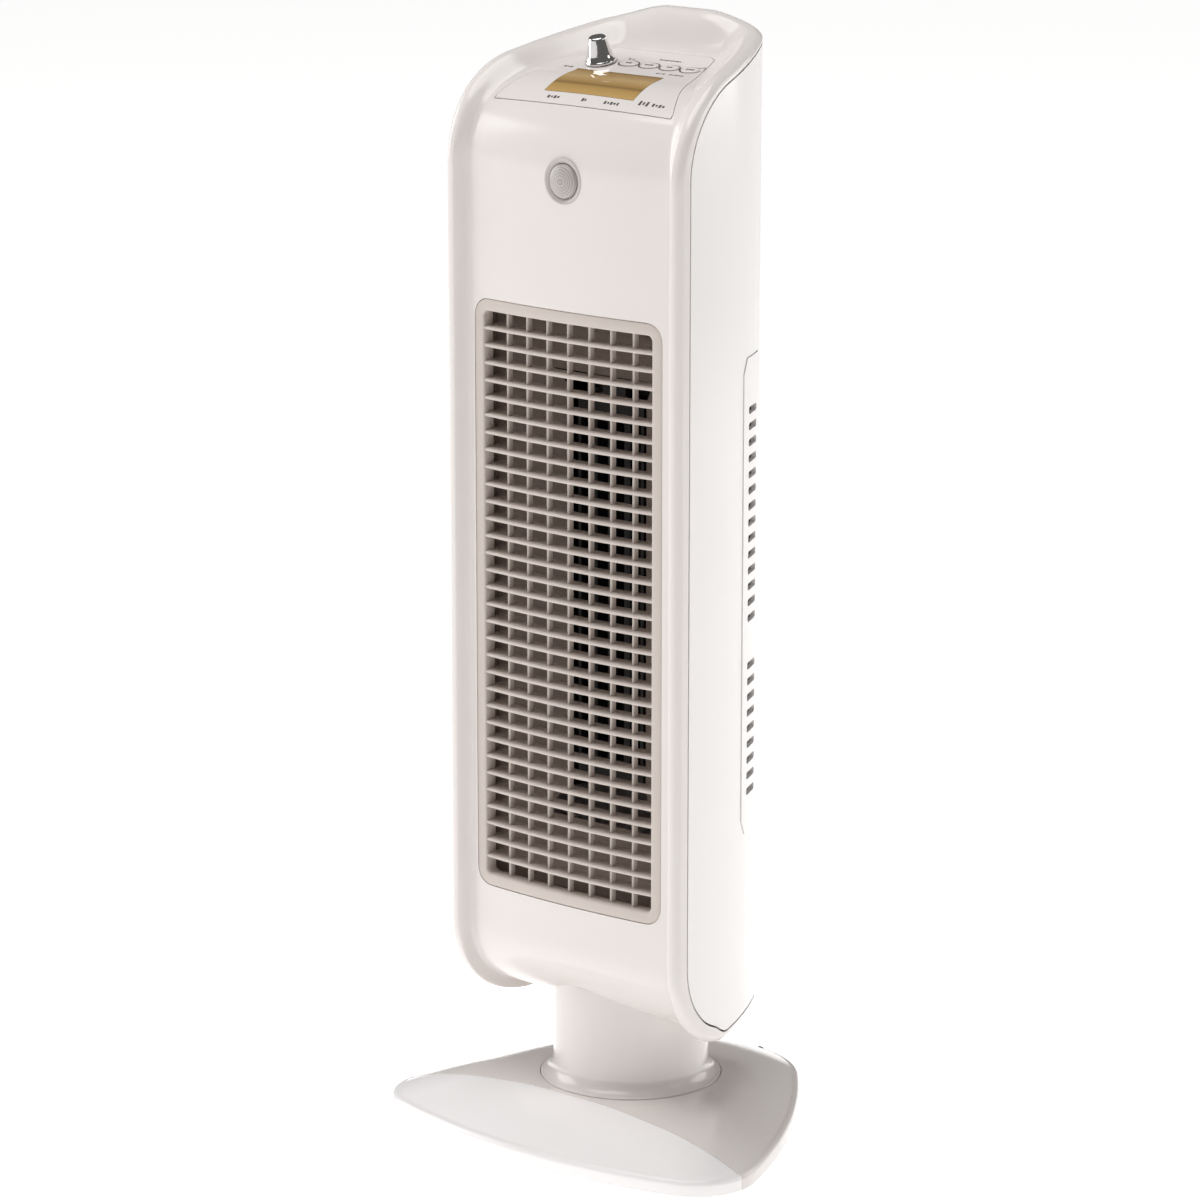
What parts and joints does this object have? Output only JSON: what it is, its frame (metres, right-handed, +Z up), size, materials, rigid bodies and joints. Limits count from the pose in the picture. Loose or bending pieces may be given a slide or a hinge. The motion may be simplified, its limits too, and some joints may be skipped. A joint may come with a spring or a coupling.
{
  "type": "ceramic space heater",
  "caption": "Slim upright ceramic fan heater: louvred outlet, side vents, sloped control tray with display, knob and buttons, on a swinging neck and a wide domed base.",
  "frame": {"origin": "middle of the base's outline, on the floor", "axes": "+Z up, front of the heater towards -Y, +X to the right seen from the front"},
  "size_m": [0.2758, 0.246, 0.6998],
  "materials": {
    "warm_white_abs": "glossy moulded, warm white",
    "white_abs": "glossy moulded, white",
    "grille_grey": "satin moulded, warm grey",
    "duct_brown": "matt heat-resistant moulding",
    "dark_plastic": "matt moulded",
    "steel": "plated steel",
    "cast_iron": "rough cast",
    "chrome": "bright plated",
    "ceramic_fins": "ceramic heater with aluminium fins",
    "board": "solder-masked board",
    "display": "clear window over a gold display",
    "lens": "milky lens",
    "rubber": "moulded rubber",
    "nylon": "natural nylon"
  },
  "bodies": {
    "base": {"base_front": "white_abs", "base_rear": "warm_white_abs", "base_plate": "dark_plastic", "base_weight": "cast_iron", "bearing_ring": "nylon", "swing_motor": "steel", "cord_gland": "dark_plastic", "tip_switch": "dark_plastic", "foot_1": "rubber", "foot_2": "rubber", "foot_3": "rubber", "foot_4": "rubber", "foot_5": "rubber", "foot_6": "rubber", "base_screw_1": "steel", "base_screw_2": "steel", "base_screw_3": "steel", "base_screw_4": "steel"},
    "tower": {"front_shell": "warm_white_abs", "rear_shell": "white_abs", "vent_cover_right": "white_abs", "vent_cover_left": "white_abs", "outlet_grille": "grille_grey", "outlet_duct": "duct_brown", "ceramic_heater": "ceramic_fins", "thermal_cutout": "dark_plastic", "fan_housing": "dark_plastic", "fan_motor": "steel", "fan_bearing": "nylon", "control_plate": "warm_white_abs", "display_window": "display", "control_board": "board", "sensor_bezel": "grille_grey", "sensor_lens": "lens", "neck": "warm_white_abs", "swing_gear": "nylon"},
    "fan": {"fan_rotor": "dark_plastic"},
    "knob": {"knob": "chrome", "knob_shaft": "steel"},
    "pinion": {"swing_pinion": "nylon"},
    "plunger": {"tip_plunger": "rubber"},
    "button_a": {"button_1": "warm_white_abs"},
    "button_b": {"button_2": "warm_white_abs"},
    "button_c": {"button_3": "warm_white_abs"},
    "button_d": {"button_4": "warm_white_abs"}
  },
  "joints": [
    {"name": "swing", "type": "hinge", "parent": "base", "child": "tower", "pos_m": [0, -0.011, 0.03], "axis": [0, 0, 1], "range_deg": [-35, 35]},
    {"name": "pinion_turn", "type": "hinge", "parent": "base", "child": "pinion", "pos_m": [0.027, -0.011, 0.0255], "axis": [0, 0, 1], "range_deg": [-71, 71]},
    {"name": "fan_spin", "type": "hinge", "parent": "tower", "child": "fan", "pos_m": [0, 0.016, 0.348], "axis": [0, 0, 1], "continuous": true},
    {"name": "knob_turn", "type": "hinge", "parent": "tower", "child": "knob", "pos_m": [-0.026, -0.009, 0.66913], "axis": [0, -0.2402, 0.9707], "range_deg": [0, 270]},
    {"name": "button_a_press", "type": "slide", "parent": "tower", "child": "button_a", "axis": [0, 0.2402, -0.9707], "range_m": [0, 0.0008], "stiffness_N_per_m": 400},
    {"name": "button_b_press", "type": "slide", "parent": "tower", "child": "button_b", "axis": [0, 0.2402, -0.9707], "range_m": [0, 0.0008], "stiffness_N_per_m": 400},
    {"name": "button_c_press", "type": "slide", "parent": "tower", "child": "button_c", "axis": [0, 0.2402, -0.9707], "range_m": [0, 0.0008], "stiffness_N_per_m": 400},
    {"name": "button_d_press", "type": "slide", "parent": "tower", "child": "button_d", "axis": [0, 0.2402, -0.9707], "range_m": [0, 0.0008], "stiffness_N_per_m": 400},
    {"name": "tip_switch_drop", "type": "slide", "parent": "base", "child": "plunger", "axis": [0, 0, -1], "range_m": [0, 0.0035]}
  ],
  "couplings": [
    {"joint": "pinion_turn", "follows": "swing", "ratio": -2}
  ]
}
